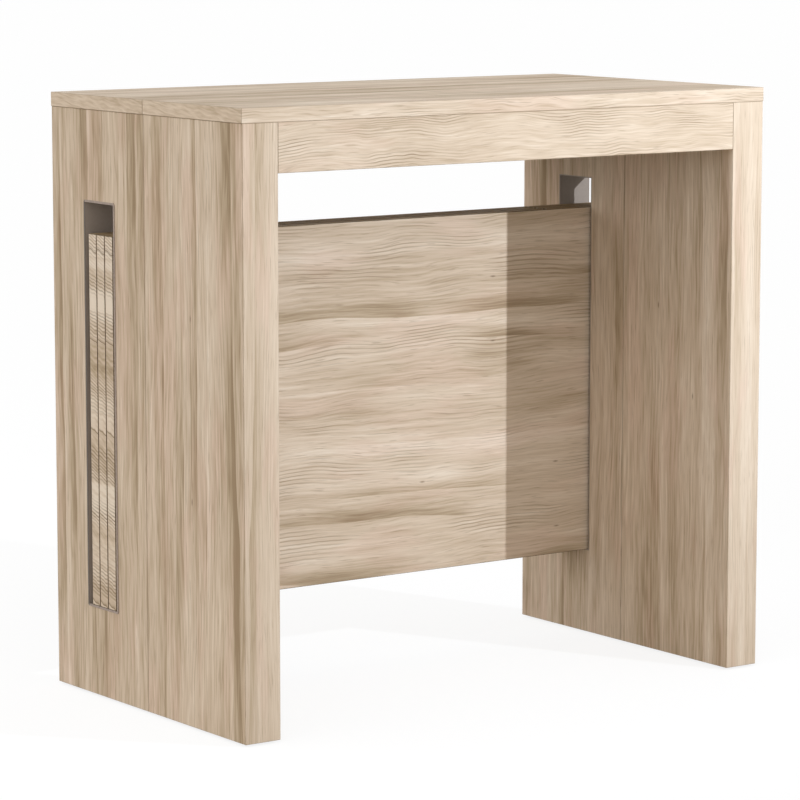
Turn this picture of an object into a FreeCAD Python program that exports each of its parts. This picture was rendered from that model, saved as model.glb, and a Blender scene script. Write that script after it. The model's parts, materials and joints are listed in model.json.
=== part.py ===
import FreeCAD, Part
import os
from types import SimpleNamespace

import Sketcher

# An extending console table. A fixed rear frame and a sliding front frame meet at a seam across the middle of
# the depth. Each has half of the top, two panel legs and an apron. Side-by-side aluminium rail sections carry
# the top when the front frame is drawn out, and three leaves for the gap stand upright in slots through the
# rear legs.
# Millimetres. X runs along the width, Y from the front to the rear and Z up. The origin is on the floor under
# the middle of the closed table.

SIZES = {
    # The two halves
    "table_width": 800,
    "table_depth": 440,
    "table_height": 760,
    "side_overhang": 1,
    "seam_gap": 0.6,
    "board_thickness": 18,
    "leg_thickness": 50,
    "apron_height": 60,
    "apron_thickness": 18,
    "panel_chamfer": 0.6,
    # Stored leaves
    "leaf_width": 470,
    "leaf_gap": 1.5,
    # Lined slots through the rear legs
    "slot_front": 71.4,
    "leaf_front_gap": 4,
    "leaf_rear_gap": 7,
    "finger_gap": 39.2,
    "liner_wall": 1.2,
    "liner_rim_lap": 1.4,
    "liner_rim_height": 1,
    "liner_rim_corner": 2,
    # Telescopic rails
    "rail_inset": 50,
    "rail_width": 15,
    "rail_height": 40,
    "rail_gap": 1,
    "rail_clearance": 1,
    "rail_end_gap": 4,
    "groove_mouth": 12,
    "groove_height": 20,
    "groove_lip": 2,
    "groove_depth": 3,
    # Sliders that link one section to the next
    "slider_length": 55,
    "slider_fit": 0.35,
    # Crossbars that join the left and right rail of a stage
    "crossbar_width": 40,
    "crossbar_thickness": 6,
    "crossbar_clearance": 1,
    "crossbar_pitch": 50,
    "crossbar_inset": 48,
    # Angle brackets
    "bracket_plate": 2.5,
    "rail_bracket_height": 34,
    "rail_bracket_reach": 30,
    "rail_bracket_width": 24,
    "rail_bracket_near": 35,
    "rail_bracket_inset": 33,
    "corner_bracket_height": 40,
    "corner_bracket_reach": 34,
    "corner_bracket_width": 44,
    # Screws, bolts, dowels and pins
    "fastener_fit": 0.1,
    "screw_radius": 2,
    "screw_depth": 12,
    "screw_head_radius": 4,
    "screw_head_height": 2.2,
    "crossbar_screw_depth": 8,
    "bolt_radius": 2.5,
    "bolt_nut_radius": 4.6,
    "bolt_nut_height": 3,
    "bolt_tee_length": 9,
    "bolt_tee_side_room": 1,
    "bolt_tee_room": 0.6,
    "dowel_radius": 4,
    "dowel_depth_top": 12,
    "dowel_depth": 22,
    "dowel_room": 1,
    "dowel_spread": 60,
    "apron_dowel_spread": 15,
    "pin_radius": 4,
    "pin_depth": 20,
    "pin_reach": 9,
    "pin_tip": 3,
    "pin_tip_radius": 2.5,
    "pin_inset": 70,
    "socket_fit": 0.3,
    "socket_room": 2,
    # Floor glides
    "glide_height": 3,
    "glide_radius": 11,
    "glide_taper": 1,
    "glide_spread": 75,
}
SECTION_COUNT = 6
LEAF_NAMES = ("front", "middle", "rear")
SIDES = {"left": -1, "right": 1}
HALVES = {"rear": 1, "front": -1}
SLOT_FLOOR_SHARE = 0.498
SCREW_PLACE_SHARE = 0.62
# Small round stock is drawn with flat sides.
SHANK_SIDES = 8
DOWEL_SIDES = 10
NUT_SIDES = 6

doc = FreeCAD.newDocument("console_table")
sheet = doc.addObject("Spreadsheet::Sheet", "Sizes")
for row, (name, value) in enumerate(SIZES.items(), start=1):
    sheet.set(f"A{row}", name.replace("_", " "))
    sheet.set(f"B{row}", str(value))
    sheet.setAlias(f"B{row}", name)
doc.recompute()


class Size:
    """A length: its value in millimetres and its formula in the cells of the sheet."""

    def __init__(self, value, formula):
        self.value = value
        self.formula = formula

    def __add__(self, other):
        return Size(self.value + other.value, f"({self.formula} + {other.formula})")

    def __sub__(self, other):
        return Size(self.value - other.value, f"({self.formula} - {other.formula})")

    def __mul__(self, share):
        return Size(self.value * share, f"({self.formula} * {share})")

    def __truediv__(self, count):
        return Size(self.value / count, f"({self.formula} / {count})")

    def __neg__(self):
        return self * -1


size = SimpleNamespace(**{name: Size(sheet.get(name), f"Sizes.{name}") for name in SIZES})
zero = Size(0, "0")

# Places worked out from the driving sizes
half_width = size.table_width / 2
half_depth = size.table_depth / 2
half_seam = size.seam_gap / 2
half_middle = (half_depth + half_seam) / 2
underside = size.table_height - size.board_thickness
leg_inner = half_width - size.leg_thickness
leg_middle = half_width - size.leg_thickness / 2
apron_inner = half_depth - size.apron_thickness
apron_middle = half_depth - size.apron_thickness / 2
apron_bottom = underside - size.apron_height
rail_top = underside - size.rail_clearance
rail_bottom = rail_top - size.rail_height
rail_middle = rail_top - size.rail_height / 2
rail_end = apron_inner - size.rail_end_gap
rail_pitch = size.rail_width + size.rail_gap
rail_bracket_places = (size.rail_bracket_near, rail_end - size.rail_bracket_inset)
rail_outset = leg_inner - size.rail_inset
leaf_pitch = size.board_thickness + size.leaf_gap
stack_depth = leaf_pitch * len(LEAF_NAMES) - size.leaf_gap
slot_width = size.leaf_front_gap + stack_depth + size.leaf_rear_gap
slot_height = size.leaf_width + size.finger_gap
slot_floor = size.glide_height + (underside - size.glide_height - slot_height) * SLOT_FLOOR_SHARE
pin_offset = leg_inner - size.pin_inset
pin_level = size.table_height - size.board_thickness / 2

TURNS = {
    "+x": FreeCAD.Rotation(FreeCAD.Vector(0, 0, 1), FreeCAD.Vector(1, 0, 0)),
    "-x": FreeCAD.Rotation(FreeCAD.Vector(0, 0, 1), FreeCAD.Vector(-1, 0, 0)),
    "-y": FreeCAD.Rotation(FreeCAD.Vector(0, 0, 1), FreeCAD.Vector(0, -1, 0)),
    "+y": FreeCAD.Rotation(FreeCAD.Vector(0, 0, 1), FreeCAD.Vector(0, 1, 0)),
    "+z": FreeCAD.Rotation(),
}
pieces = []


def span(sign, near, far):
    """The low and high end of a stretch from near to far, on one side of the middle plane."""
    return (near, far) if sign > 0 else (-far, -near)


def section_place(section):
    """The distance of a rail section's middle from the middle plane, counted from the outermost."""
    return rail_outset - size.rail_width / 2 - rail_pitch * (section - 1)


def bind(thing, **formulas):
    for name, length in formulas.items():
        thing.setExpression(name, length.formula)


def put(thing, place, turn="+z"):
    """Place an object at a point, with its own Z axis turned to the given direction."""
    thing.Placement = FreeCAD.Placement(FreeCAD.Vector(), TURNS[turn])
    for axis, length in zip("xyz", place):
        thing.setExpression(f"Placement.Base.{axis}", length.formula)


def keep(thing, label):
    """Name an object as a finished sub-part."""
    thing.Label = label
    pieces.append(thing)
    return thing


def new_body(label, place):
    body = doc.addObject("PartDesign::Body", label)
    put(body, place)
    return body


def outline(body, plane, points):
    """A closed outline of straight runs on one of the body's own planes, each corner bound to the sheet."""
    sketch = body.newObject("Sketcher::SketchObject", f"{body.Name}_outline")
    support = next(item for item in body.Origin.OriginFeatures if item.Role == plane)
    sketch.AttachmentSupport = [(support, "")]
    sketch.MapMode = "FlatFace"
    draw_loop(sketch, points)
    return sketch


def draw_loop(sketch, points):
    corners = [FreeCAD.Vector(across.value, up.value, 0) for across, up in points]
    first = sketch.GeometryCount
    for start, end in zip(corners, corners[1:] + corners[:1]):
        sketch.addGeometry(Part.LineSegment(start, end), False)
    for place, (across, up) in enumerate(points):
        line = first + place
        following = first + (place + 1) % len(points)
        sketch.addConstraint(Sketcher.Constraint("Coincident", line, 2, following, 1))
        for kind, length, axis in (("DistanceX", across, -2), ("DistanceY", up, -1)):
            if length is zero:
                sketch.addConstraint(Sketcher.Constraint("PointOnObject", line, 1, axis))
            else:
                number = sketch.addConstraint(Sketcher.Constraint(kind, -1, 1, line, 1, length.value))
                sketch.setExpression(f"Constraints[{number}]", length.formula)


def rectangle(low_across, low_up, high_across, high_up):
    return [(low_across, low_up), (high_across, low_up), (high_across, high_up), (low_across, high_up)]


def cut_rectangle(low_across, low_up, high_across, high_up, cut):
    """A rectangle with its corners cut off."""
    return [
        (low_across + cut, low_up),
        (high_across - cut, low_up),
        (high_across, low_up + cut),
        (high_across, high_up - cut),
        (high_across - cut, high_up),
        (low_across + cut, high_up),
        (low_across, high_up - cut),
        (low_across, low_up + cut),
    ]


def pad(body, sketch, length, both_ways=False):
    feature = body.newObject("PartDesign::Pad", f"{body.Name}_pad")
    feature.Profile = sketch
    feature.Midplane = both_ways
    bind(feature, Length=length)
    sketch.Visibility = False
    doc.recompute()
    return feature


def chamfer_all(body, base, length):
    feature = body.newObject("PartDesign::Chamfer", f"{body.Name}_chamfer")
    feature.Base = (base, [""])
    feature.UseAllEdges = True
    bind(feature, Size=length)
    return feature


def panel(label, across, along, up):
    """A board with eased edges, from its low and high ends along X, Y and Z."""
    low, high = zip(across, along, up)
    width, depth, height = (end - start for start, end in zip(low, high))
    body = new_body(label, low)
    base = pad(body, outline(body, "XY_Plane", rectangle(zero, zero, width, depth)), height)
    chamfer_all(body, base, size.panel_chamfer)
    return body


def bar(label, place, points, length):
    """A profile in the XZ plane drawn out along Y, half its length each way from its place."""
    body = new_body(label, place)
    pad(body, outline(body, "XZ_Plane", points), length, both_ways=True)
    return body


def prism(place, turn, sides, radius, length):
    stock = doc.addObject("Part::Prism", "prism")
    stock.Polygon = sides
    bind(stock, Circumradius=radius, Height=length)
    put(stock, place, turn)
    return stock


def rod(place, turn, radius, length):
    cylinder = doc.addObject("Part::Cylinder", "rod")
    bind(cylinder, Radius=radius, Height=length)
    put(cylinder, place, turn)
    return cylinder


def cone(place, turn, start_radius, end_radius, length):
    frustum = doc.addObject("Part::Cone", "cone")
    bind(frustum, Radius1=start_radius, Radius2=end_radius, Height=length)
    put(frustum, place, turn)
    return frustum


def block(across, along, up):
    low, high = zip(across, along, up)
    box = doc.addObject("Part::Box", "block")
    width, depth, height = (end - start for start, end in zip(low, high))
    bind(box, Length=width, Width=depth, Height=height)
    put(box, low)
    return box


def fused(things):
    whole = doc.addObject("Part::MultiFuse", "fused")
    whole.Shapes = things
    return whole


def group(label, things):
    """Like pieces that share one node, as separate solids."""
    compound = doc.addObject("Part::Compound", label)
    compound.Links = things
    keep(compound, label)


def drilled(thing, bores):
    tool = doc.addObject("Part::Compound", f"{thing.Name}_bores")
    tool.Links = bores
    cut = doc.addObject("Part::Cut", f"{thing.Name}_drilled")
    cut.Base = thing
    cut.Tool = tool
    return cut


def bored(label, thing, bores):
    """A finished piece with its holes drilled."""
    return keep(drilled(thing, bores), label)


def shifted(place, turn, distance):
    """The point at a distance along a direction."""
    sign = 1 if turn[0] == "+" else -1
    axis = "xyz".index(turn[1])
    return [length + distance * sign if number == axis else length for number, length in enumerate(place)]


def screw(seat, turn, depth):
    """A pan-head screw whose head lies on its seat and whose shank points the given way."""
    back = shifted(seat, turn, -size.screw_head_height)
    head = prism(back, turn, SHANK_SIDES, size.screw_head_radius, size.screw_head_height)
    shank = prism(seat, turn, SHANK_SIDES, size.screw_radius, depth)
    return fused([head, shank])


def screw_hole(seat, turn, depth):
    return prism(seat, turn, SHANK_SIDES, size.screw_radius + size.fastener_fit, depth + size.fastener_fit)


def angle_profile(reach, height, way):
    """An angle in the XZ plane: its corner at the origin, one plate down and one out along X."""
    out = reach * way
    plate = size.bracket_plate * way
    return [
        (zero, zero),
        (out, zero),
        (out, -size.bracket_plate),
        (plate, -size.bracket_plate),
        (plate, -height),
        (zero, -height),
    ]


def half_dowels(sign):
    """Places, directions and depths of the dowels that join one half's top and apron to its legs."""
    dowels = []
    for side in SIDES.values():
        for spread in (-size.dowel_spread, size.dowel_spread):
            top = [leg_middle * side, half_middle * sign + spread, underside - size.dowel_depth]
            dowels.append((top, "+z", size.dowel_depth + size.dowel_depth_top))
        for spread in (-size.apron_dowel_spread, size.apron_dowel_spread):
            level = underside - size.apron_height / 2 + spread
            start = [(leg_inner - size.dowel_depth) * side, apron_middle * sign, level]
            dowels.append((start, "+x" if side > 0 else "-x", size.dowel_depth * 2))
    return dowels


def dowel(place, turn, length):
    return prism(place, turn, DOWEL_SIDES, size.dowel_radius, length)


def dowel_bore(place, turn, length):
    """A dowel's hole, with room for glue past both ends."""
    start = shifted(place, turn, -size.dowel_room)
    radius = size.dowel_radius + size.fastener_fit
    return prism(start, turn, DOWEL_SIDES, radius, length + size.dowel_room * 2)


def half_screws(half, sign):
    """Seats, directions and depths of the screws that hold one half's brackets."""
    screws = []
    plate = size.bracket_plate
    depth = size.screw_depth + plate
    for side in SIDES.values():
        out = "+x" if side > 0 else "-x"
        for spread in (-size.corner_bracket_width / 4, size.corner_bracket_width / 4):
            along = half_middle * sign + spread
            across = (leg_inner - size.corner_bracket_reach * SCREW_PLACE_SHARE) * side
            screws.append(([across, along, underside - plate], "+z", depth))
            level = underside - size.corner_bracket_height * SCREW_PLACE_SHARE
            screws.append(([(leg_inner - plate) * side, along, level], out, depth))
        face, way = rail_bracket_face(half)
        for along in rail_bracket_places:
            across = (face + size.rail_bracket_reach * (SCREW_PLACE_SHARE * way)) * side
            screws.append(([across, along * sign, underside - plate], "+z", depth))
    return screws


def rail_bracket_face(half):
    """The free rail face that a half's brackets hold, and the way that it looks from the middle plane."""
    if half == "rear":
        return rail_outset, 1
    return section_place(SECTION_COUNT) - size.rail_width / 2, -1


def pin_places():
    return [pin_offset * side for side in SIDES.values()]


def seam_sockets():
    """Sockets in the front top for the pins of the rear top."""
    depth = size.pin_reach + size.pin_tip + size.socket_room
    radius = size.pin_radius + size.socket_fit
    return [rod([across, zero, pin_level], "-y", radius, depth) for across in pin_places()]


def seam_pins():
    pins = []
    for across in pin_places():
        foot = [across, size.pin_depth, pin_level]
        shank = rod(foot, "-y", size.pin_radius, size.pin_depth + size.pin_reach)
        tip_place = [across, -size.pin_reach, pin_level]
        tip = cone(tip_place, "-y", size.pin_radius, size.pin_tip_radius, size.pin_tip)
        pins.append(fused([shank, tip]))
    group("seam_pins", pins)


def pin_bores():
    radius = size.pin_radius + size.fastener_fit
    depth = size.pin_depth + size.fastener_fit
    return [rod([across, zero, pin_level], "+y", radius, depth) for across in pin_places()]


def glide_places(sign):
    for side in SIDES.values():
        for spread in (-size.glide_spread, size.glide_spread):
            yield [leg_middle * side, half_middle * sign + spread, zero]


def glides(half, sign):
    """Tapered floor glides under the legs."""
    made = []
    for place in glide_places(sign):
        foot = size.glide_radius - size.glide_taper
        made.append(cone(place, "+z", foot, size.glide_radius, size.glide_height))
    group(f"{half}_glides", made)


def half_frame(half, sign):
    """One half of the table: its top, legs, apron, brackets and what holds them together."""
    along = span(sign, half_seam, half_depth)
    dowels = half_dowels(sign)
    screws = half_screws(half, sign)
    dowel_bores = [dowel_bore(*place) for place in dowels]
    holes = [screw_hole(*place) for place in screws] + dowel_bores
    top_span = (-(half_width + size.side_overhang), half_width + size.side_overhang)
    top = panel(f"{half}_top_board", top_span, along, (underside, size.table_height))
    bored(f"{half}_top", top, holes + (pin_bores() if half == "rear" else seam_sockets()))
    for side_name, side in SIDES.items():
        across = span(side, leg_inner, half_width)
        leg = panel(f"{half}_leg_{side_name}_board", across, along, (size.glide_height, underside))
        if half == "rear":
            cut_slot(leg)
        bored(f"{half}_leg_{side_name}", leg, holes)
    apron_along = span(sign, apron_inner, half_depth)
    apron = panel(f"{half}_apron_board", (-leg_inner, leg_inner), apron_along, (apron_bottom, underside))
    bored(f"{half}_apron", apron, dowel_bores)
    group(f"{half}_dowels", [dowel(*place) for place in dowels])
    group(f"{half}_screws", [screw(*place) for place in screws])
    corner_brackets(half, sign, holes)
    rail_brackets(half, sign, holes)
    glides(half, sign)


def cut_slot(leg):
    """The upright slot through a rear leg, as wide and high as the outside of its liner."""
    low_along, low_up, high_along, high_up = round_slot(size.liner_wall)
    corners = rectangle(
        low_along - half_seam,
        low_up - size.glide_height,
        high_along - half_seam,
        high_up - size.glide_height,
    )
    feature = leg.newObject("PartDesign::Pocket", f"{leg.Name}_slot")
    feature.Profile = outline(leg, "YZ_Plane", corners)
    feature.Type = "ThroughAll"
    feature.Reversed = True
    doc.recompute()


def slot_liner(side_name, side):
    """A metal sleeve through the leg, with a rim that laps the leg's outer face."""
    label = f"slot_liner_{side_name}"
    sleeve_edge = rectangle(*round_slot(size.liner_wall))
    sleeve = liner_ring(f"{label}_sleeve", sleeve_edge, span(side, leg_inner, half_width))
    rim_edge = cut_rectangle(*round_slot(size.liner_wall + size.liner_rim_lap), size.liner_rim_corner)
    rim = liner_ring(f"{label}_rim", rim_edge, span(side, half_width, half_width + size.liner_rim_height))
    keep(fused([sleeve, rim]), label)


def round_slot(wall):
    """The low and high corner of the clear slot, grown by a wall on every side."""
    low_along = size.slot_front - wall
    low_up = slot_floor - wall
    return low_along, low_up, low_along + slot_width + wall * 2, low_up + slot_height + wall * 2


def liner_ring(label, outer, across):
    """A ring from the clear slot to an outer edge, drawn out along X."""
    body = new_body(label, [across[0], zero, zero])
    sketch = outline(body, "YZ_Plane", outer)
    draw_loop(sketch, rectangle(*round_slot(zero)))
    pad(body, sketch, across[1] - across[0])
    return body


def corner_brackets(half, sign, holes):
    """Angles that hold the legs to the top, inside each corner."""
    made = []
    for side_name, side in SIDES.items():
        profile = angle_profile(size.corner_bracket_reach, size.corner_bracket_height, -side)
        place = [leg_inner * side, half_middle * sign, underside]
        angle = bar(f"{half}_corner_angle_{side_name}", place, profile, size.corner_bracket_width)
        made.append(drilled(angle, holes))
    group(f"{half}_corner_brackets", made)


def rail_brackets(half, sign, holes):
    """Angles that hang a half's own rail section under its top, with hammer-head bolts in the free groove."""
    brackets = []
    bolts = []
    face, way = rail_bracket_face(half)
    for side_name, side in SIDES.items():
        outward = "+x" if side * way > 0 else "-x"
        profile = angle_profile(size.rail_bracket_reach, size.rail_bracket_height, side * way)
        for along in rail_bracket_places:
            place = [face * side, along * sign, underside]
            angle = bar(f"{half}_rail_angle_{side_name}", place, profile, size.rail_bracket_width)
            mouth = [face * side, along * sign, rail_middle]
            hole_radius = size.bolt_radius + size.fastener_fit
            bolt_hole = prism(mouth, outward, SHANK_SIDES, hole_radius, size.bracket_plate)
            brackets.append(drilled(angle, holes + [bolt_hole]))
            bolts.append(hammer_bolt(mouth, outward, side * way))
    group(f"{half}_rail_brackets", brackets)
    group(f"{half}_rail_bolts", bolts)


def hammer_bolt(mouth, outward, way):
    """A bolt whose flat head lies behind the lips of a groove, with its nut outside the bracket."""
    back = -(size.groove_lip + size.groove_depth - size.bolt_tee_room)
    tee_rise = size.groove_height / 2 - size.bolt_tee_side_room
    shank_length = size.bracket_plate - back
    shank = prism(shifted(mouth, outward, back), outward, SHANK_SIDES, size.bolt_radius, shank_length)
    nut_place = shifted(mouth, outward, size.bracket_plate)
    nut = prism(nut_place, outward, NUT_SIDES, size.bolt_nut_radius, size.bolt_nut_height)
    across, along, up = mouth
    tee_ends = (across + back * way, across - size.groove_lip * way)
    tee = block(
        tee_ends if way > 0 else tee_ends[::-1],
        (along - size.bolt_tee_length / 2, along + size.bolt_tee_length / 2),
        (up - tee_rise, up + tee_rise),
    )
    return fused([tee, shank, nut])


def rail_profile():
    """The rail section: a tee groove in each side, equally far from the top and the bottom."""
    side = size.rail_width / 2
    behind_lip = side - size.groove_lip
    web = behind_lip - size.groove_depth
    middle = -(size.rail_height / 2)
    mouth = size.groove_mouth / 2
    cavity = size.groove_height / 2
    right = [
        (side, zero),
        (side, middle + mouth),
        (behind_lip, middle + mouth),
        (behind_lip, middle + cavity),
        (web, middle + cavity),
        (web, middle - cavity),
        (behind_lip, middle - cavity),
        (behind_lip, middle - mouth),
        (side, middle - mouth),
        (side, -size.rail_height),
    ]
    return right + [(-across, up) for across, up in reversed(right)]


def rail(section, side_name, side, bores):
    label = f"rail_{section}_{side_name}"
    place = [section_place(section) * side, zero, rail_top]
    body = bar(f"{label}_section", place, rail_profile(), rail_end * 2)
    if bores:
        bored(label, body, bores)
    else:
        keep(body, label)


def slider(section, side, owned_by_outer):
    """A nylon block in the facing grooves of a section and the next one in, held tight by its owner."""
    way = side if owned_by_outer else -side
    face = size.rail_gap / 2
    lip = face + size.groove_lip
    back = lip + size.groove_depth
    mouth = size.groove_mouth / 2
    cavity = size.groove_height / 2
    fit = size.slider_fit
    upper = [
        (back, cavity),
        (lip, cavity),
        (lip, mouth),
        (face, mouth),
        (face, mouth - fit),
        (-(lip + fit), mouth - fit),
        (-(lip + fit), cavity - fit),
        (-(back - fit), cavity - fit),
    ]
    points = upper + [(across, -up) for across, up in reversed(upper)]
    across = (section_place(section) - rail_pitch / 2) * side
    end = rail_end - size.slider_length / 2
    place = [across, -end if owned_by_outer else end, rail_middle]
    return bar("slider", place, [(length * way, up) for length, up in points], size.slider_length)


def section_sliders(section):
    """The sliders that one section holds: in front for the next one in, behind for the next one out."""
    made = []
    for side in SIDES.values():
        if section < SECTION_COUNT:
            made.append(slider(section, side, True))
        if section > 1:
            made.append(slider(section - 1, side, False))
    group(f"rail_{section}_sliders", made)


def crossbar_screws(section):
    """Seats, directions and depths of the screws through one crossbar into its two rails."""
    screws = []
    under = rail_bottom - size.crossbar_clearance - size.crossbar_thickness
    depth = size.crossbar_thickness + size.crossbar_clearance + size.crossbar_screw_depth
    for side in SIDES.values():
        for spread in (-size.crossbar_width / 4, size.crossbar_width / 4):
            along = crossbar_place(section) + spread
            screws.append(([section_place(section) * side, along, under], "+z", depth))
    return screws


def crossbar_place(section):
    """Crossbars of stages that travel further lie further forward, so that none has to pass another."""
    return size.crossbar_inset - rail_end + size.crossbar_pitch * (SECTION_COUNT - 1 - section)


def crossbar(section, bores):
    """A flat bar under the rails that rises at each end to meet the rail of its own stage."""
    end = section_place(section) + size.rail_width / 2
    step = end - size.rail_width
    low = -(size.crossbar_thickness + size.crossbar_clearance)
    bed = -size.crossbar_clearance
    right = [(end, low), (end, zero), (step, zero), (step, bed)]
    points = right + [(-across, up) for across, up in reversed(right)]
    place = [zero, crossbar_place(section), rail_bottom]
    body = bar(f"rail_{section}_crossbar_bar", place, points, size.crossbar_width)
    bored(f"rail_{section}_crossbar", body, bores)


def rail_train():
    """All rail sections, their sliders, and the crossbars of the stages between the two halves."""
    for section in range(1, SECTION_COUNT + 1):
        between = 1 < section < SECTION_COUNT
        screws = crossbar_screws(section) if between else []
        bores = [screw_hole(*place) for place in screws]
        for side_name, side in SIDES.items():
            rail(section, side_name, side, bores)
        section_sliders(section)
        if between:
            crossbar(section, bores)
            group(f"rail_{section}_screws", [screw(*place) for place in screws])


def leaf(number, name):
    """A leaf on its long edge, with sockets for the pins in both long edges."""
    front = size.slot_front + size.leaf_front_gap + leaf_pitch * number
    top = slot_floor + size.leaf_width
    along = (front, front + size.board_thickness)
    board = panel(f"leaf_{name}_board", (-half_width, half_width), along, (slot_floor, top))
    depth = size.pin_reach + size.pin_tip + size.socket_room
    radius = size.pin_radius + size.socket_fit
    middle = front + size.board_thickness / 2
    sockets = []
    for across in pin_places():
        for bottom in (slot_floor, top - depth):
            sockets.append(prism([across, middle, bottom], "+z", DOWEL_SIDES, radius, depth))
    bored(f"leaf_{name}", board, sockets)


def write_parts():
    """Stop on any failed object or empty shape, then write each sub-part to its own file."""
    for thing in doc.Objects:
        failed = {"Invalid", "Error"} & set(thing.State)
        if failed:
            raise RuntimeError(f"{thing.Label}: {failed}")
    for piece in pieces:
        if piece.Shape.isNull() or not piece.Shape.isValid():
            raise RuntimeError(f"{piece.Label}: empty or invalid shape")
    os.makedirs("parts", exist_ok=True)
    for piece in pieces:
        piece.Shape.exportStep(f"parts/{piece.Label}.step")


for half_name, half_sign in HALVES.items():
    half_frame(half_name, half_sign)
seam_pins()
for liner_name, liner_side in SIDES.items():
    slot_liner(liner_name, liner_side)
rail_train()
for leaf_number, leaf_name in enumerate(LEAF_NAMES):
    leaf(leaf_number, leaf_name)
doc.recompute()
write_parts()
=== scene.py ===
import json
import math
from types import SimpleNamespace

import bmesh
import bpy
from mathutils import Matrix, Vector


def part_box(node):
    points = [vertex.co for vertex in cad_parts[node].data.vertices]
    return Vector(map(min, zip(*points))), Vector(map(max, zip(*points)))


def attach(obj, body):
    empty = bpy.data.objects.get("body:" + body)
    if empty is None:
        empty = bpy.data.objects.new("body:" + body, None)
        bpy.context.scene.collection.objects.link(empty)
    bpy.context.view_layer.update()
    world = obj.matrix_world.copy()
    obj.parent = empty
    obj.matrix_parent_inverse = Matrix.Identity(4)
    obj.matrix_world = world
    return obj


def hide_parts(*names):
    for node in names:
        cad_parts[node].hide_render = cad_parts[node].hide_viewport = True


# The looks of an extending console table: wood-grain laminate boards, dark metal slot liners, aluminium
# rails and small hardware. Metres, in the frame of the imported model: X along the width, Y to the rear and
# Z up.

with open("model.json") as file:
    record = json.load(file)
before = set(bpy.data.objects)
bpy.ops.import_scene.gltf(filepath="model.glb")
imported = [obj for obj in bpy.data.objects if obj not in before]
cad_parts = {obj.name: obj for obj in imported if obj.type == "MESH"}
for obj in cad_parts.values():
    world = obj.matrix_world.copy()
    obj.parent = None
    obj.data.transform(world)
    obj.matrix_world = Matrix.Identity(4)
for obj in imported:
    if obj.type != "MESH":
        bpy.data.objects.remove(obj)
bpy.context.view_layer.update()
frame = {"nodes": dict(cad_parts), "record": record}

# Camera: a long lens, to the left of the front and a little above the top
CAMERA_PLACE = Vector((-2.697, -3.757, 1.0055))
CAMERA_AZIMUTH = math.radians(-35.494)
CAMERA_ELEVATION = math.radians(7.938)
SENSOR_WIDTH = 36.0
LENS = 163.07

# Studio: a small lamp to the right of the front, and white all round that is brighter to the left and
# dimmer above. Seen directly, floor and surroundings are white, and the floor's glow leaves a faint shadow.
LAMP_PLACE = Vector((1.20, -2.02, 1.24))
LAMP_AIM = Vector((0.10, -0.13, 0.93))
LAMP_SPREAD = math.radians(72.0)
LAMP_POWER = 158.0
LAMP_COLOR = (0.98, 1.06, 1.17)
LAMP_RADIUS = 0.012
AMBIENT_LEVEL = 1.15
AMBIENT_TO_LEFT = 0.55
AMBIENT_UPWARD = -0.50
WHITE = (1.0, 1.0, 1.0, 1.0)
FLOOR_SEEN_COLOR = (0.98, 0.98, 0.98)
FLOOR_BOUNCE_COLOR = (0.56, 0.50, 0.42)
FLOOR_REACH = 60.0
FLOOR_GLOW_SHARE = 0.8
FLOOR_GLOW_LEVEL = 1.04

# Laminate tones from the dark bands to the pale ones, and where each lies on the scale of tones
WOOD_TONES = (
    (0.05, (0.330, 0.243, 0.155)),
    (0.30, (0.462, 0.362, 0.252)),
    (0.50, (0.575, 0.462, 0.347)),
    (0.70, (0.660, 0.545, 0.426)),
    (0.95, (0.764, 0.662, 0.546)),
)
MIDDLE_TONE = 0.5
PINK_TINT = (1.02, 0.945, 0.960)
STROKE_COLOR = (0.260, 0.185, 0.115)
END_STROKE_COLOR = (0.190, 0.130, 0.075)
KNOT_COLOR = (0.160, 0.105, 0.060)
LONG_EDGE_DARK_COLOR = (0.340, 0.240, 0.132)
WOOD_ROUGHNESS = 0.58
WOOD_ROUGHNESS_SPREAD = 0.25
WOOD_SPECULAR = 0.02
WOOD_RELIEF = 0.0003

# How the grain of a kind of board runs. Rates are per metre, along the grain and across it. A bend is two
# rates and a reach in metres. Bends shift all the grain, and ripples only its fine lines. Steps are bands
# with one crisp edge, and their wander is in bands. Gains move the tone, and shares lay a colour over it.
UPRIGHT_GRAIN = SimpleNamespace(
    bends=((1.2, 4.0, 0.020), (5.0, 14.0, 0.004)),
    ripples=((4.0, 9.0, 0.022), (14.0, 24.0, 0.004)),
    bands=(0.8, 13.0),
    band_gain=0.98,
    steps=22.0,
    step_patches=(2.4, 18.0),
    step_wander=0.22,
    step_gain=0.48,
    streaks=(1.2, 42.0),
    streak_gain=1.20,
    fibres=(18.0, 300.0),
    fibre_gain=0.72,
    lines=170.0,
    line_share=0.26,
    pink_patches=(5.0, 28.0),
    pink_share=0.5,
)
STRAIGHT_GRAIN = SimpleNamespace(
    bends=((1.4, 6.0, 0.014), (6.0, 16.0, 0.005)),
    ripples=((14.0, 40.0, 0.0020),),
    bands=(1.2, 24.0),
    band_gain=1.2,
    steps=24.0,
    step_patches=(3.0, 18.0),
    step_wander=0.5,
    step_gain=0.42,
    streaks=(2.2, 60.0),
    streak_gain=1.9,
    fibres=(18.0, 300.0),
    fibre_gain=0.6,
    lines=150.0,
    line_share=0.25,
    pink_patches=(5.0, 24.0),
    pink_share=0.35,
)
WAVY_GRAIN = SimpleNamespace(
    bends=((1.0, 3.0, 0.024), (5.0, 9.0, 0.006)),
    ripples=((4.0, 9.0, 0.034), (11.0, 18.0, 0.010), (26.0, 36.0, 0.002)),
    bands=(1.8, 22.0),
    band_gain=0.90,
    steps=15.0,
    step_patches=(4.6, 18.0),
    step_wander=0.5,
    step_gain=0.40,
    streaks=(4.0, 90.0),
    streak_gain=0.72,
    fibres=(13.0, 420.0),
    fibre_gain=0.55,
    lines=200.0,
    line_share=0.56,
    pink_patches=(6.0, 20.0),
    pink_share=0.4,
)
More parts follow.
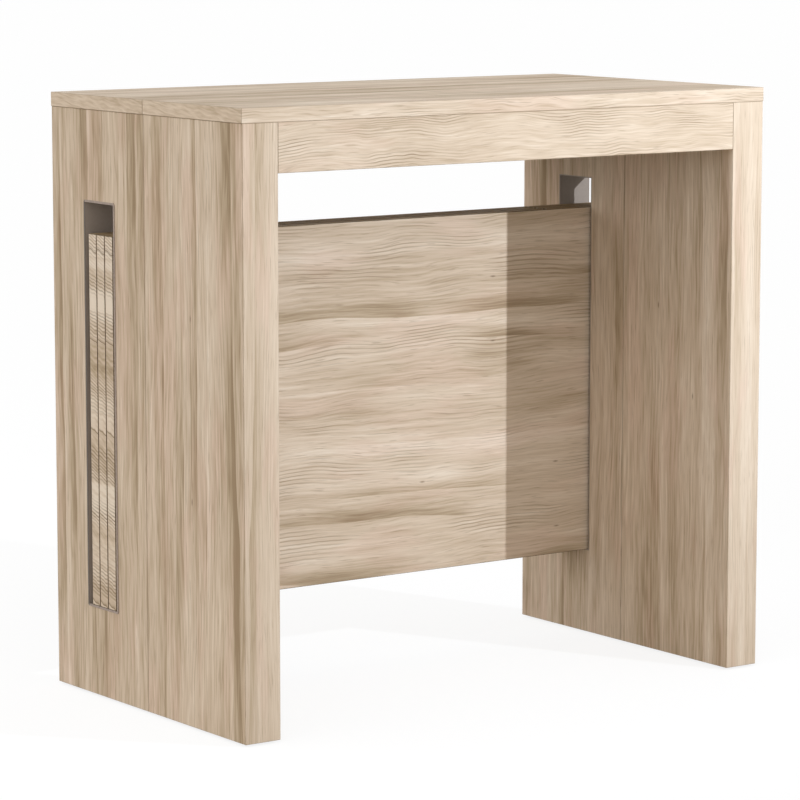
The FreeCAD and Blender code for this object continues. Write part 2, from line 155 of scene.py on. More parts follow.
EDGE_GRAIN = SimpleNamespace(
    bends=((1.0, 3.0, 0.024), (5.0, 9.0, 0.006)),
    ripples=((7.0, 12.0, 0.020), (20.0, 26.0, 0.008), (40.0, 50.0, 0.002)),
    bands=(1.8, 22.0),
    band_gain=0.65,
    steps=15.0,
    step_patches=(4.6, 18.0),
    step_wander=0.5,
    step_gain=0.20,
    streaks=(6.0, 90.0),
    streak_gain=0.45,
    fibres=(22.0, 480.0),
    fibre_gain=0.65,
    lines=290.0,
    line_share=0.74,
    pink_patches=(6.0, 20.0),
    pink_share=0.4,
)

# What all grain has in common. A fade is where a layer of noise starts to show, and where it shows in full.
# The steps' mean is given back to the tone, and the lines' depth is a share of the relief.
STEP_DRIFT = (0.25, 8.0)
STEP_DRIFT_BANDS = 4.5
STEP_WANDER = (5.0, 16.0)
STEP_SHARPNESS = 1.6
STEP_FADE = (-0.06, 0.16)
STEP_MEAN = 0.2
LINE_WANDER = (5.0, 35.0)
LINE_WANDER_ANGLE = 9.0
LINE_PATCHES = (6.0, 24.0)
LINE_FADE = (-0.02, 0.16)
LINE_SHARPNESS = 4.0
LINE_DEPTH_SHARE = 0.4
PORES = (34.0, 620.0)
PORE_FADE = (0.10, 0.26)
PORE_SHARE = 0.38
PINK_FADE = (0.0, 0.14)
PATCH_OCTAVES = 2.0
STREAK_OCTAVES = 4.0
STREAK_ROUGHNESS = 0.85
LAYER_STEP = 5.3
SEED_STEP = 107.3

# Knots: small dark dots, long along the grain, in a few of the cells of a pattern
KNOT_CELLS = (9.0, 30.0)
KNOT_CHANCE = (0.94, 0.95)
KNOT_SIZE = 0.06
KNOT_SHARE = 0.65

# Ends of a board: the fine lines slope across the thickness, with broad bands one above the other. Those of
# the leaves also have single dark strokes, far apart.
SLAB_END = SimpleNamespace(
    slope=0.12,
    ripples=((24.0, 40.0, 0.010), (70.0, 90.0, 0.002)),
    bands=(3.0, 40.0),
    band_gain=0.5,
    lift=0.10,
    streaks=(40.0, 260.0),
    streak_gain=1.0,
    lines=340.0,
    line_share=0.40,
    stroke_share=0.0,
)
LEAF_END = SimpleNamespace(
    slope=0.30,
    ripples=((70.0, 20.0, 0.007), (140.0, 50.0, 0.0025)),
    bands=(2.0, 14.0),
    band_gain=1.9,
    lift=0.20,
    streaks=(40.0, 160.0),
    streak_gain=1.1,
    lines=230.0,
    line_share=0.62,
    stroke_share=0.85,
)
END_SEED = 2.9
END_LINE_FADE = (-0.10, 0.12)
END_LINE_SHARPNESS = 2.0
STROKES = 9.0
STROKE_WANDER = (1.0, 6.0)
STROKE_WANDER_SHARE = 0.5
STROKE_WIDTH_SHARE = 0.028

# Lifts of the tone on the legs' narrow faces, which are also plainer and finer, on the aprons and the long
# edges of the tops, and on the leaves
STRIP_FINENESS = 1.5
STRIP_SHARE = 0.54
STRIP_LIFT = 0.09
EDGE_LIFT = 0.10
LEAF_LIFT = 0.045

# Eased edges are darkened, most on the leaves, whose long edges have a dark band
SLAB_TRIM = SimpleNamespace(eased_share=0.35, eased_color=(0.150, 0.105, 0.055), long_edge_dark_share=0.0)
LEAF_TRIM = SimpleNamespace(eased_share=0.9, eased_color=(0.060, 0.041, 0.020), long_edge_dark_share=0.95)

# How squarely a face has to look along an axis: where it starts to count, and where it counts in full
FACING = (0.5, 0.8)
LONG_EDGE_FACING = (0.8, 0.9)
EASED_FACING = (0.92, 0.80)

# Bare metal has fine drawn lines and slight clouding. Rates are per metre along X, Y and Z, and a spread is
# a share of the colour, to both sides.
ALUMINIUM = SimpleNamespace(
    color=(0.42, 0.424, 0.43),
    spread=0.10,
    lines=(500.0, 6.0, 500.0),
    roughness=0.78,
)
ZINC_PLATE = SimpleNamespace(
    color=(0.52, 0.52, 0.51),
    spread=0.16,
    lines=(120.0, 120.0, 120.0),
    roughness=0.36,
)
METAL_CLOUDS = (14.0, 14.0, 14.0)
METAL_LINE_GAIN = 0.9
METAL_CLOUD_GAIN = 0.8
METAL_FADE = (-0.3, 0.3)
METAL_LINE_ROUGHNESS = 0.2
METAL_CLOUD_ROUGHNESS = 0.15
METAL_RELIEF = 0.00005
FINE_OCTAVES = 3.0
FINE_ROUGHNESS = 0.6

# Plastic, bare wood and paint have a fine texture and clouds
NYLON = SimpleNamespace(color=(0.045, 0.043, 0.040), spread=0.25)
BEECH = SimpleNamespace(color=(0.60, 0.44, 0.26), spread=0.15)
MATT_CLOUDS = (30.0, 30.0, 30.0)
MATT_TEXTURE = (900.0, 900.0, 900.0)
MATT_ROUGHNESS = 0.5
MATT_RELIEF = 0.00008
CLOUD_GAIN = 0.7
TEXTURE_GAIN = 0.3
MOTTLE_FADE = (-0.2, 0.2)
TEXTURE_ROUGHNESS = 0.2

# The liners' rims have painted shade, darker than their sleeves, and a painted highlight except on the
# strip behind the leaves
LINER = SimpleNamespace(color=(0.31, 0.26, 0.22), spread=0.1)
LINER_CLOUDS = (25.0, 25.0, 12.0)
LINER_TEXTURE = (300.0, 300.0, 300.0)
LINER_ROUGHNESS = 0.4
LINER_SPECULAR = 0.25
LINER_RELIEF = 0.00004
RIM_WIDTH = 0.0024
RIM_BLEND = 0.0006
RIM_SHADE_SHARE = 0.45
RIM_HIGHLIGHT_COLOR = (0.40, 0.315, 0.265)
RIM_HIGHLIGHT_SHARE = 0.75
RIM_HIGHLIGHT_SPREAD = 1.2
RIM_HIGHLIGHT_SMOOTHNESS = 0.08

# Screws have a pan head with a cross recess, and bolts a nut with turned corners. Shares are of the head's
# radius and height, or of the nut's.
ROUND_SIDES = 24
HEAD_PROFILE = ((1.0, 0.0), (1.0, 0.34), (0.96, 0.60), (0.86, 0.84), (0.70, 1.0))
TIP_SHARE = 0.4
CROSS_REACH_SHARE = 0.52
CROSS_WIDTH_SHARE = 0.12
CROSS_DEPTH_SHARE = 0.55
CROSS_FLOOR_SHARE = 0.72
TURN_STEP = math.radians(137.5)
NUT_SIDES = 6
NUT_HEIGHT_SHARE = 0.8
NUT_CORNER_SHARE = 0.90
NUT_CORNER_HEIGHT_SHARE = 0.80
BOLT_END_SHARE = 0.86
WELD_DISTANCE = 1e-6
LEVEL_DIGITS = 5
SMOOTH_BELOW = math.radians(38.0)

# Where the mix node keeps its sockets for colours
MIX_COLORS = slice(6, 8)
MIX_RESULT = 2


class Field:
    """A value that varies over a surface, joined to others by plain arithmetic."""

    def __init__(self, tree, socket):
        self.tree = tree
        self.socket = socket

    def math(self, operation, *others):
        node = self.tree.nodes.new("ShaderNodeMath")
        node.operation = operation
        for socket, value in zip(node.inputs, (self, *others)):
            feed(self.tree, socket, value)
        return Field(self.tree, node.outputs[0])

    def __add__(self, other):
        return self.math("ADD", other)

    def __sub__(self, other):
        return self.math("SUBTRACT", other)

    def __mul__(self, other):
        return self.math("MULTIPLY", other)

    def ramp(self, low, high):
        """0 at low, 1 at high, smooth between and level beyond them. Low may lie above high."""
        node = self.tree.nodes.new("ShaderNodeMapRange")
        node.interpolation_type = "SMOOTHSTEP"
        feed(self.tree, node.inputs["Value"], self)
        node.inputs["From Min"].default_value = low
        node.inputs["From Max"].default_value = high
        return Field(self.tree, node.outputs["Result"])


def feed(tree, socket, value):
    if isinstance(value, Field):
        tree.links.new(value.socket, socket)
    else:
        socket.default_value = value


def axes(tree, coordinate):
    """A texture coordinate of the surface, as three fields."""
    coordinates = tree.nodes.new("ShaderNodeTexCoord")
    split = tree.nodes.new("ShaderNodeSeparateXYZ")
    tree.links.new(coordinates.outputs[coordinate], split.inputs[0])
    return [Field(tree, socket) for socket in split.outputs]


def vector(parts):
    """Three values, the first of them a field, as one place."""
    tree = parts[0].tree
    node = tree.nodes.new("ShaderNodeCombineXYZ")
    for socket, part in zip(node.inputs, parts):
        feed(tree, socket, part)
    return Field(tree, node.outputs[0])


def noise(place, octaves, roughness):
    """Noise about zero."""
    node = place.tree.nodes.new("ShaderNodeTexNoise")
    node.inputs["Scale"].default_value = 1.0
    node.inputs["Detail"].default_value = octaves
    node.inputs["Roughness"].default_value = roughness
    feed(place.tree, node.inputs["Vector"], place)
    return Field(place.tree, node.outputs[0]) - 0.5


def layer(place, rates, octaves=PATCH_OCTAVES, roughness=0.5):
    """Noise with a rate of its own along each axis."""
    return noise(vector([part * rate for part, rate in zip(place, rates)]), octaves, roughness)


def cells(place):
    """The distance to the middle of the nearest cell of a flat pattern, and a chance value of that cell."""
    tree = place.tree
    node = tree.nodes.new("ShaderNodeTexVoronoi")
    node.voronoi_dimensions = "2D"
    node.inputs["Scale"].default_value = 1.0
    feed(tree, node.inputs["Vector"], place)
    chance = tree.nodes.new("ShaderNodeSeparateColor")
    tree.links.new(node.outputs["Color"], chance.inputs[0])
    return Field(tree, node.outputs["Distance"]), Field(tree, chance.outputs[0])


def blend(tree, share, first, second, mode="MIX"):
    """Two colours mixed by a share."""
    node = tree.nodes.new("ShaderNodeMix")
    node.data_type = "RGBA"
    node.blend_type = mode
    feed(tree, node.inputs[0], share)
    for socket, color in zip(node.inputs[MIX_COLORS], (first, second)):
        feed(tree, socket, color if isinstance(color, Field) else (*color, 1.0))
    return Field(tree, node.outputs[MIX_RESULT])


def tones(value, stops):
    """A colour picked from a scale of tones."""
    node = value.tree.nodes.new("ShaderNodeValToRGB")
    elements = node.color_ramp.elements
    while len(elements) < len(stops):
        elements.new(0.5)
    for element, (place, color) in zip(elements, stops):
        element.position = place
        element.color = (*color, 1.0)
    feed(value.tree, node.inputs[0], value)
    return Field(value.tree, node.outputs[0])


def new_material(name):
    material = bpy.data.materials.new(name)
    material.use_nodes = True
    shader = material.node_tree.nodes["Principled BSDF"]
    return material, material.node_tree, shader


def bump(shader, height, distance):
    node = height.tree.nodes.new("ShaderNodeBump")
    node.inputs["Distance"].default_value = distance
    node.inputs["Strength"].default_value = 1.0
    feed(height.tree, node.inputs["Height"], height)
    height.tree.links.new(node.outputs[0], shader.inputs["Normal"])


class Grain:
    """The run of a board's grain: places along and across it, and the board's own layers of noise."""

    def __init__(self, along, across, seed):
        self.tree = along.tree
        self.along = along
        self.across = across
        self.seed = seed
        self.height = seed

    def noise(self, along_rate, across_rate, octaves=1.0, roughness=0.5):
        """A new layer of noise, drawn out along the grain."""
        self.height += LAYER_STEP
        place = vector([self.along * along_rate, self.across * across_rate, self.height])
        return noise(place, octaves, roughness)

    def bend(self, bends):
        for along_rate, across_rate, reach in bends:
            self.across = self.across + self.noise(along_rate, across_rate) * reach

    def steps(self, look):
        """Bands that darken slowly and end at a crisp edge, stronger in some places than in others."""
        drift = self.noise(*STEP_DRIFT) * STEP_DRIFT_BANDS + self.noise(*STEP_WANDER) * look.step_wander
        turns = (drift - self.across * look.steps).math("FRACT")
        return turns.math("POWER", STEP_SHARPNESS) * self.noise(*look.step_patches).ramp(*STEP_FADE)

    def lines(self, rate, sharpness=LINE_SHARPNESS, fade=LINE_FADE):
        """Thin dark lines side by side, in patches."""
        wander = self.noise(*LINE_WANDER, PATCH_OCTAVES) * LINE_WANDER_ANGLE
        wave = (self.across * (math.tau * rate) + wander).math("SINE") * 0.5 + 0.5
        return wave.math("POWER", sharpness) * self.noise(*LINE_PATCHES, PATCH_OCTAVES).ramp(*fade)

    def strokes(self):
        """Single dark strokes far apart."""
        turns = (self.across * STROKES + self.noise(*STROKE_WANDER) * STROKE_WANDER_SHARE).math("FRACT")
        return turns.ramp(STROKE_WIDTH_SHARE, 0.0)

    def knots(self):
        along_rate, across_rate = KNOT_CELLS
        along = self.along * along_rate + self.seed
        across = self.across * across_rate + self.seed
        distance, chance = cells(vector([along, across, 0.0]))
        return distance.ramp(KNOT_SIZE, 0.0) * chance.ramp(*KNOT_CHANCE)


def face_color(grain, look, lift, share=1.0):
    """Colour and relief of a board's face, with a lift of its tone and a share of the full contrast."""
    tree = grain.tree
    grain.bend(look.bends)
    level = grain.noise(*look.bands, PATCH_OCTAVES) * look.band_gain - grain.steps(look) * look.step_gain
    pink = grain.noise(*look.pink_patches, PATCH_OCTAVES).ramp(*PINK_FADE) * look.pink_share
    knots = grain.knots()
    streaks = grain.noise(*look.streaks, STREAK_OCTAVES, STREAK_ROUGHNESS)
    grain.bend(look.ripples)
    fibres = grain.noise(*look.fibres)
    lines = grain.lines(look.lines)
    pores = grain.noise(*PORES).ramp(*PORE_FADE)
    level = level + streaks * look.streak_gain + fibres * look.fibre_gain + STEP_MEAN * look.step_gain
    color = tones(level * share + lift + MIDDLE_TONE, WOOD_TONES)
    color = blend(tree, pink, color, blend(tree, 1.0, color, PINK_TINT, "MULTIPLY"))
    color = blend(tree, lines * look.line_share, color, STROKE_COLOR)
    color = blend(tree, pores * PORE_SHARE, color, STROKE_COLOR)
    color = blend(tree, knots * KNOT_SHARE, color, KNOT_COLOR)
    return color, streaks + fibres - lines * LINE_DEPTH_SHARE - knots


def end_color(y, z, look):
    """Colour of a board's end, where the grain of the core is printed as fine sloping lines."""
    grain = Grain(y, z - y * look.slope, END_SEED)
    grain.bend(look.ripples)
    bands = grain.noise(*look.bands) * look.band_gain
    level = bands + grain.noise(*look.streaks, PATCH_OCTAVES) * look.streak_gain
    color = tones(level + look.lift + MIDDLE_TONE, WOOD_TONES)
    lines = grain.lines(look.lines, END_LINE_SHARPNESS, END_LINE_FADE) * look.line_share
    if look.stroke_share:
        lines = lines.math("MAXIMUM", grain.strokes() * look.stroke_share)
    return blend(grain.tree, lines, color, END_STROKE_COLOR)


def leg_surface(place, facing, seed, board):
    """Colour and relief of a leg, whose grain stands upright."""
    x, y, z = place
    strip = facing[1].ramp(*FACING)
    grain = Grain(z, y + x * STRIP_FINENESS, seed)
    return face_color(grain, board.face, strip * STRIP_LIFT, strip * (STRIP_SHARE - 1.0) + 1.0)


def lying_surface(place, facing, seed, board):
    """Colour and relief of a board whose grain lies along X, with other prints on its edges and ends."""
    x, y, z = place
    color, relief = face_color(Grain(x, z + y, seed), board.face, board.lift)
    if board.edge:
        strip = facing[1].ramp(*FACING)
        edge_color, edge_relief = face_color(Grain(x, z, seed), board.edge, EDGE_LIFT)
        color = blend(x.tree, strip, color, edge_color)
        relief = relief + (edge_relief - relief) * strip
    return blend(x.tree, facing[0].ramp(*FACING), color, end_color(y, z, board.end)), relief


LEG = SimpleNamespace(surface=leg_surface, face=UPRIGHT_GRAIN, trim=SLAB_TRIM)
TOP = SimpleNamespace(
    surface=lying_surface, face=STRAIGHT_GRAIN, lift=0.0, edge=EDGE_GRAIN, end=SLAB_END, trim=SLAB_TRIM
)
APRON = SimpleNamespace(
    surface=lying_surface, face=EDGE_GRAIN, lift=EDGE_LIFT, edge=None, end=SLAB_END, trim=SLAB_TRIM
)
LEAF = SimpleNamespace(
    surface=lying_surface, face=WAVY_GRAIN, lift=LEAF_LIFT, edge=None, end=LEAF_END, trim=LEAF_TRIM
)
FRAME_BOARDS = {"leg_left": LEG, "leg_right": LEG, "top": TOP, "apron": APRON}
HALVES = ("rear", "front")
LEAVES = ("front", "middle", "rear")


def laminate(name, board, seed, corner):
    """Wood-grain laminate of a kind of board, measured from the board's least corner."""
    material, tree, shader = new_material(name)
    place = [part - start for part, start in zip(axes(tree, "Object"), corner)]
    facing = [part.math("ABSOLUTE") for part in axes(tree, "Normal")]
    color, relief = board.surface(place, facing, seed, board)
    trim = board.trim
    squarest = facing[0].math("MAXIMUM", facing[1]).math("MAXIMUM", facing[2])
    color = blend(tree, squarest.ramp(*EASED_FACING) * trim.eased_share, color, trim.eased_color)
    # The leaves' long top and bottom edges are painted darker
    if trim.long_edge_dark_share:
        color = blend(tree, facing[2].ramp(*LONG_EDGE_FACING) * trim.long_edge_dark_share, color, LONG_EDGE_DARK_COLOR)
    feed(tree, shader.inputs["Base Color"], color)
    feed(tree, shader.inputs["Roughness"], relief * WOOD_ROUGHNESS_SPREAD + WOOD_ROUGHNESS)
    shader.inputs["Specular IOR Level"].default_value = WOOD_SPECULAR
    bump(shader, relief, WOOD_RELIEF)
    return material


def mottled(look, share):
    """A colour spread to both sides of its mean by a share."""
    darker, lighter = [
        [part * (1.0 + spread) for part in look.color] for spread in (-look.spread, look.spread)
    ]
    return blend(share.tree, share, darker, lighter)


def metal(name, look):
    """Bare metal with fine drawn lines and slight clouding."""
    material, tree, shader = new_material(name)
    place = axes(tree, "Object")
    lines = layer(place, look.lines, FINE_OCTAVES, FINE_ROUGHNESS)
    clouds = layer(place, METAL_CLOUDS)
    share = (lines * METAL_LINE_GAIN + clouds * METAL_CLOUD_GAIN).ramp(*METAL_FADE)
    feed(tree, shader.inputs["Base Color"], mottled(look, share))
    roughness = lines * METAL_LINE_ROUGHNESS + clouds * METAL_CLOUD_ROUGHNESS + look.roughness
    feed(tree, shader.inputs["Roughness"], roughness)
    shader.inputs["Metallic"].default_value = 1.0
    bump(shader, lines, METAL_RELIEF)
    return material


def matt(name, look):
    """Moulded plastic or bare wood with a fine texture."""
    material, tree, shader = new_material(name)
    place = axes(tree, "Object")
    texture = layer(place, MATT_TEXTURE)
    clouds = layer(place, MATT_CLOUDS)
    share = (clouds * CLOUD_GAIN + texture * TEXTURE_GAIN).ramp(*MOTTLE_FADE)
    feed(tree, shader.inputs["Base Color"], mottled(look, share))
    feed(tree, shader.inputs["Roughness"], texture * TEXTURE_ROUGHNESS + MATT_ROUGHNESS)
    bump(shader, texture, MATT_RELIEF)
    return material


def liner_paint():
    """Satin paint with painted shade on the rims and a painted highlight there, apart from the strip behind
    the leaves.
    """
    material, tree, shader = new_material("liner_paint")
    place = x, y, _ = axes(tree, "Object")
    leg_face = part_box("rear_leg_right")[1][0]
    strip_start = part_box("slot_liner_right")[1][1] - RIM_WIDTH
    texture = layer(place, LINER_TEXTURE, FINE_OCTAVES, FINE_ROUGHNESS)
    clouds = layer(place, LINER_CLOUDS)
    share = (clouds * CLOUD_GAIN + texture * TEXTURE_GAIN).ramp(*MOTTLE_FADE)
    rim = x.math("ABSOLUTE").ramp(leg_face, leg_face + RIM_BLEND)
    # Painted shade: the rims are darkened to a share of the paint's colour
    paint = blend(tree, rim, mottled(LINER, share), [part * RIM_SHADE_SHARE for part in LINER.color])
    before_strip = y.ramp(strip_start, strip_start - RIM_BLEND)
    # Painted highlight: a lighter, smoother rim, apart from the strip behind the leaves
    painted_highlight = rim * before_strip * (texture * RIM_HIGHLIGHT_SPREAD + RIM_HIGHLIGHT_SHARE)
    feed(tree, shader.inputs["Base Color"], blend(tree, painted_highlight, paint, RIM_HIGHLIGHT_COLOR))
    roughness = texture * TEXTURE_ROUGHNESS + LINER_ROUGHNESS - painted_highlight * RIM_HIGHLIGHT_SMOOTHNESS
    feed(tree, shader.inputs["Roughness"], roughness)
    shader.inputs["Specular IOR Level"].default_value = LINER_SPECULAR
    bump(shader, texture, LINER_RELIEF)
    return material


def dress(node, material):
    slots = frame["nodes"][node].data.materials
    slots.clear()
    slots.append(material)


def dress_boards():
    boards = [(f"{half}_{part}", board) for half in HALVES for part, board in FRAME_BOARDS.items()]
    boards += [(f"leaf_{name}", LEAF) for name in LEAVES]
    for number, (node, board) in enumerate(boards, start=1):
        dress(node, laminate(f"{node}_laminate", board, number * SEED_STEP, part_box(node)[0]))


def dress_hardware():
    by_slot = {
        "slot_liner": liner_paint(),
        "rail_aluminium": metal("rail_aluminium", ALUMINIUM),
        "steel_hardware": metal("zinc_plate", ZINC_PLATE),
        "nylon": matt("dark_nylon", NYLON),
        "dowel_wood": matt("beech_dowel", BEECH),
    }
    for part in frame["record"]["subparts"]:
        if part["material_slot"] in by_slot:
            dress(part["node"], by_slot[part["material_slot"]])
    make_fasteners(by_slot["steel_hardware"])


def loose_parts(node):
    """The corner points of each loose part of a node."""
    shape = bmesh.new()
    shape.from_mesh(frame["nodes"][node].data)
    bmesh.ops.remove_doubles(shape, verts=shape.verts, dist=WELD_DISTANCE)
    parts = []
    seen = set()
    for start in shape.verts:
        if start in seen:
            continue
        seen.add(start)
        part = []
        waiting = [start]
        while waiting:
            vertex = waiting.pop()
            part.append(vertex.co.copy())
            near = [edge.other_vert(vertex) for edge in vertex.link_edges]
            waiting += [other for other in near if other not in seen]
            seen.update(near)
        parts.append(part)
    shape.free()
    return parts


def levels_of(points):
    """A fastener's points sorted into levels along its axis, the direction in which it has the fewest."""
    choices = []
    for axis in range(3):
        levels = {}
        for point in points:
            levels.setdefault(round(point[axis], LEVEL_DIGITS), []).append(point)
        choices.append([levels[height] for height in sorted(levels)])
    return min(choices, key=len)


def middle_of(points):
    return sum(points, Vector()) / len(points)


def radii_of(points):
    """The least and the greatest distance of a level's points from its middle."""
    distances = [(point - middle_of(points)).length for point in points]
    return min(distances), max(distances)


def fastener_place(foot, seat, turn):
    """A fastener's own frame: its origin at the seat of its head, and its Z axis away from its foot."""
    outward = (seat - foot).to_track_quat("Z", "Y").to_matrix().to_4x4()
    return Matrix.Translation(seat) @ outward @ Matrix.Rotation(turn, 4, "Z")


def corners_at(shape, place, outline, height):
    """New corners of a flat outline at a height along a fastener's axis."""
    return [shape.verts.new(place @ Vector((*corner, height))) for corner in outline]


def circle(sides, radius):
    angles = [math.tau * number / sides for number in range(sides)]
    return [(radius * math.cos(angle), radius * math.sin(angle)) for angle in angles]


def rectangle(half_width, half_height):
    signs = ((-1, -1), (1, -1), (1, 1), (-1, 1))
    return [(half_width * across, half_height * up) for across, up in signs]


def cross(reach, half_width):
    """The outline of a cross, one arm after the other."""
    arm = [(reach, -half_width), (reach, half_width), (half_width, half_width)]
    quarters = [Matrix.Rotation(math.tau * number / 4, 2) for number in range(4)]
    return [tuple(turn @ Vector(corner)) for turn in quarters for corner in arm]


def skin(shape, *loops):
    """Faces between loops of equally many corners."""
    for lower, upper in zip(loops, loops[1:]):
        for number in range(len(lower)):
            after = (number + 1) % len(lower)
            shape.faces.new((lower[number], lower[after], upper[after], upper[number]))


def fill_between(shape, outer, inner):
    """Faces on the flat ring between two loops."""
    edges = []
    for loop in (outer, inner):
        for pair in zip(loop, loop[1:] + loop[:1]):
            edges.append(shape.edges.get(pair) or shape.edges.new(pair))
    bmesh.ops.triangle_fill(shape, use_beauty=True, edges=edges)


def add_screw(shape, points, turn):
    """A screw with a rounded head and a cross recess."""
    levels = levels_of(points)
    if radii_of(levels[0])[1] > radii_of(levels[-1])[1]:
        levels.reverse()
    foot, seat, top = [middle_of(level) for level in levels]
    shank_radius = radii_of(levels[0])[1]
    head_radius = radii_of(levels[-1])[1]
    length = (seat - foot).length
    height = (top - seat).length
    place = fastener_place(foot, seat, turn)
    tip_radius = shank_radius * TIP_SHARE
    outline = [(tip_radius, -length), (shank_radius, shank_radius - length), (shank_radius, 0.0)]
    outline += [(head_radius * out, height * up) for out, up in HEAD_PROFILE]
    loops = [corners_at(shape, place, circle(ROUND_SIDES, radius), level) for radius, level in outline]
    skin(shape, *loops)
    shape.faces.new(loops[0])
    reach = head_radius * CROSS_REACH_SHARE
    half_width = head_radius * CROSS_WIDTH_SHARE
    floor_height = height * (1.0 - CROSS_DEPTH_SHARE)
    mouth = corners_at(shape, place, cross(reach, half_width), height)
    floor = corners_at(shape, place, cross(reach * CROSS_FLOOR_SHARE, half_width), floor_height)
    fill_between(shape, loops[-1], mouth)
    skin(shape, mouth, floor)
    shape.faces.new(floor)


def add_bolt(shape, points, turn):
    """A bolt along X whose flat head lies in a groove, with a nut at its other end."""
    levels = levels_of(points)
    if radii_of(levels[0])[1] < radii_of(levels[-1])[1]:
        levels.reverse()
    back, front, seat, top = [middle_of(level) for level in levels]
    bolt_radius, nut_radius = radii_of(levels[2])
    place = fastener_place(back, seat, 0.0)
    half_width, half_height = [max(abs((point - back)[axis]) for point in levels[0]) for axis in (1, 2)]
    head = rectangle(half_width, half_height)
    head_back = corners_at(shape, place, head, -(seat - back).length)
    head_front = corners_at(shape, place, head, -(seat - front).length)
    end = (top - seat).length
    nut_height = end * NUT_HEIGHT_SHARE
    shank = circle(ROUND_SIDES, bolt_radius)
    shank_foot = corners_at(shape, place, shank, -(seat - front).length)
    shank_end = corners_at(shape, place, shank, 0.0)
    nut_corners = [Matrix.Rotation(turn, 2) @ Vector(corner) for corner in circle(NUT_SIDES, nut_radius)]
    turned = [corner * NUT_CORNER_SHARE for corner in nut_corners]
    nut_seat = corners_at(shape, place, nut_corners, 0.0)
    nut_shoulder = corners_at(shape, place, nut_corners, nut_height * NUT_CORNER_HEIGHT_SHARE)
    nut_top = corners_at(shape, place, turned, nut_height)
    thread = corners_at(shape, place, shank, nut_height)
    shoulder = corners_at(shape, place, shank, (end + nut_height) / 2)
    tip = corners_at(shape, place, circle(ROUND_SIDES, bolt_radius * BOLT_END_SHARE), end)
    shape.faces.new(head_back)
    skin(shape, head_back, head_front)
    fill_between(shape, head_front, shank_foot)
    skin(shape, shank_foot, shank_end)
    fill_between(shape, nut_seat, shank_end)
    skin(shape, nut_seat, nut_shoulder, nut_top)
    fill_between(shape, nut_top, thread)
    skin(shape, thread, shoulder, tip)
    shape.faces.new(tip)


FASTENERS = {"screws": add_screw, "bolts": add_bolt}


def finished_mesh(node, add):
    """A node's fasteners with finished heads."""
    shape = bmesh.new()
    for number, points in enumerate(loose_parts(node)):
        add(shape, points, number * TURN_STEP)
    bmesh.ops.recalc_face_normals(shape, faces=shape.faces)
    mesh = bpy.data.meshes.new(f"{node}_finished")
    shape.to_mesh(mesh)
    shape.free()
    mesh.shade_smooth()
    mesh.set_sharp_from_angle(angle=SMOOTH_BELOW)
    return mesh


def make_fasteners(material):
    """Screws and bolts with finished heads, in place of the plain ones of the solid model."""
    for body, nodes in frame["record"]["behaviour"]["bodies"].items():
        for node in nodes:
            add = FASTENERS.get(node.split("_")[-1])
            if add is None:
                continue
            mesh = finished_mesh(node, add)
            mesh.materials.append(material)
            piece = bpy.data.objects.new(mesh.name, mesh)
            bpy.context.scene.collection.objects.link(piece)
            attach(piece, body)
            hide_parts(node)


def seen_directly(tree):
    """1 for what is seen directly, in a reflection or through glass, and 0 for light on the object."""
    path = tree.nodes.new("ShaderNodeLightPath")
    seen = Field(tree, path.outputs["Is Camera Ray"])
    for name in ("Is Glossy Ray", "Is Transmission Ray"):
        seen = seen.math("MAXIMUM", Field(tree, path.outputs[name]))
    return seen


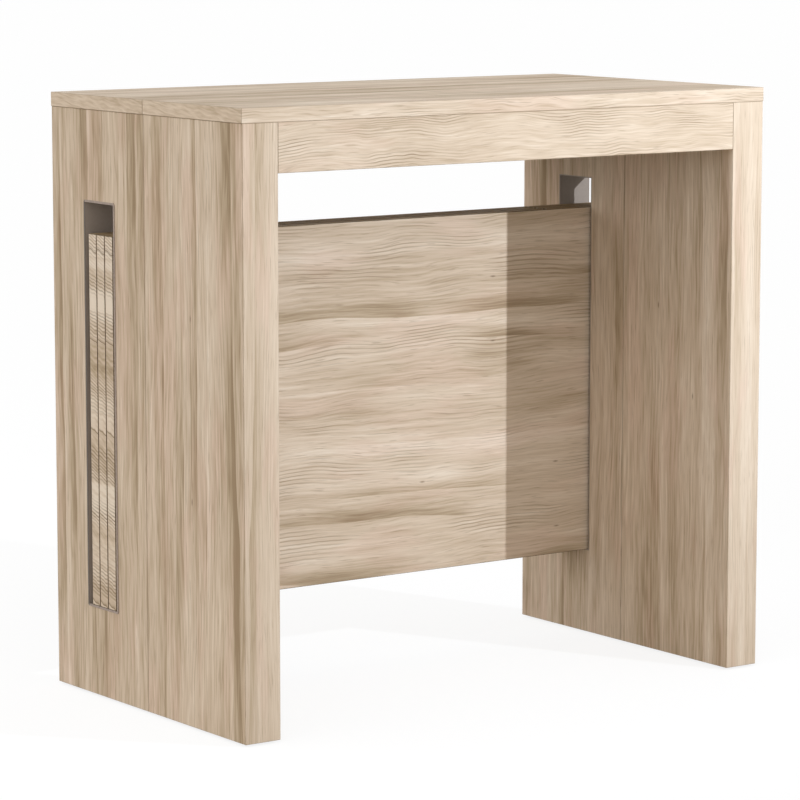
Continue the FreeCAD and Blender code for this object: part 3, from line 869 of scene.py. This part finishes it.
def make_floor():
    mesh = bpy.data.meshes.new("floor")
    corners = [(*corner, 0.0) for corner in rectangle(FLOOR_REACH, FLOOR_REACH)]
    mesh.from_pydata(corners, [], [range(len(corners))])
    floor = bpy.data.objects.new("floor", mesh)
    bpy.context.scene.collection.objects.link(floor)
    material, tree, shader = new_material("floor_white")
    seen = seen_directly(tree)
    feed(tree, shader.inputs["Base Color"], blend(tree, seen, FLOOR_BOUNCE_COLOR, FLOOR_SEEN_COLOR))
    shader.inputs["Roughness"].default_value = 1.0
    shader.inputs["Specular IOR Level"].default_value = 0.0
    glow = tree.nodes.new("ShaderNodeEmission")
    glow.inputs["Color"].default_value = WHITE
    glow.inputs["Strength"].default_value = FLOOR_GLOW_LEVEL
    mix = tree.nodes.new("ShaderNodeMixShader")
    feed(tree, mix.inputs[0], seen * FLOOR_GLOW_SHARE)
    tree.links.new(shader.outputs[0], mix.inputs[1])
    tree.links.new(glow.outputs[0], mix.inputs[2])
    tree.links.new(mix.outputs[0], tree.nodes["Material Output"].inputs["Surface"])
    mesh.materials.append(material)


def make_lamp():
    lamp = bpy.data.lights.new("key", "SPOT")
    lamp.spot_size = LAMP_SPREAD
    lamp.spot_blend = 1.0
    lamp.energy = LAMP_POWER
    lamp.color = LAMP_COLOR
    lamp.shadow_soft_size = LAMP_RADIUS
    key = bpy.data.objects.new("key", lamp)
    key.location = LAMP_PLACE
    key.rotation_mode = "QUATERNION"
    key.rotation_quaternion = (LAMP_AIM - LAMP_PLACE).to_track_quat("-Z", "Y")
    bpy.context.scene.collection.objects.link(key)


def make_surroundings():
    world = bpy.data.worlds.new("studio")
    world.use_nodes = True
    tree = world.node_tree
    background = tree.nodes["Background"]
    background.inputs["Color"].default_value = WHITE
    across, _, up = axes(tree, "Generated")
    ambient = across * -AMBIENT_TO_LEFT + up * AMBIENT_UPWARD + AMBIENT_LEVEL
    seen = seen_directly(tree)
    feed(tree, background.inputs["Strength"], ambient + (ambient * -1.0 + 1.0) * seen)
    bpy.context.scene.world = world


def make_camera():
    data = bpy.data.cameras.new("camera")
    data.sensor_width = SENSOR_WIDTH
    data.lens = LENS
    camera = bpy.data.objects.new("camera", data)
    camera.location = CAMERA_PLACE
    level = math.cos(CAMERA_ELEVATION)
    across = -math.sin(CAMERA_AZIMUTH) * level
    ahead = math.cos(CAMERA_AZIMUTH) * level
    forward = Vector((across, ahead, -math.sin(CAMERA_ELEVATION)))
    camera.rotation_mode = "QUATERNION"
    camera.rotation_quaternion = forward.to_track_quat("-Z", "Y")
    bpy.context.scene.collection.objects.link(camera)
    bpy.context.scene.camera = camera


dress_boards()
dress_hardware()
make_floor()
make_lamp()
make_surroundings()
make_camera()
bpy.context.scene.view_settings.view_transform = "Standard"
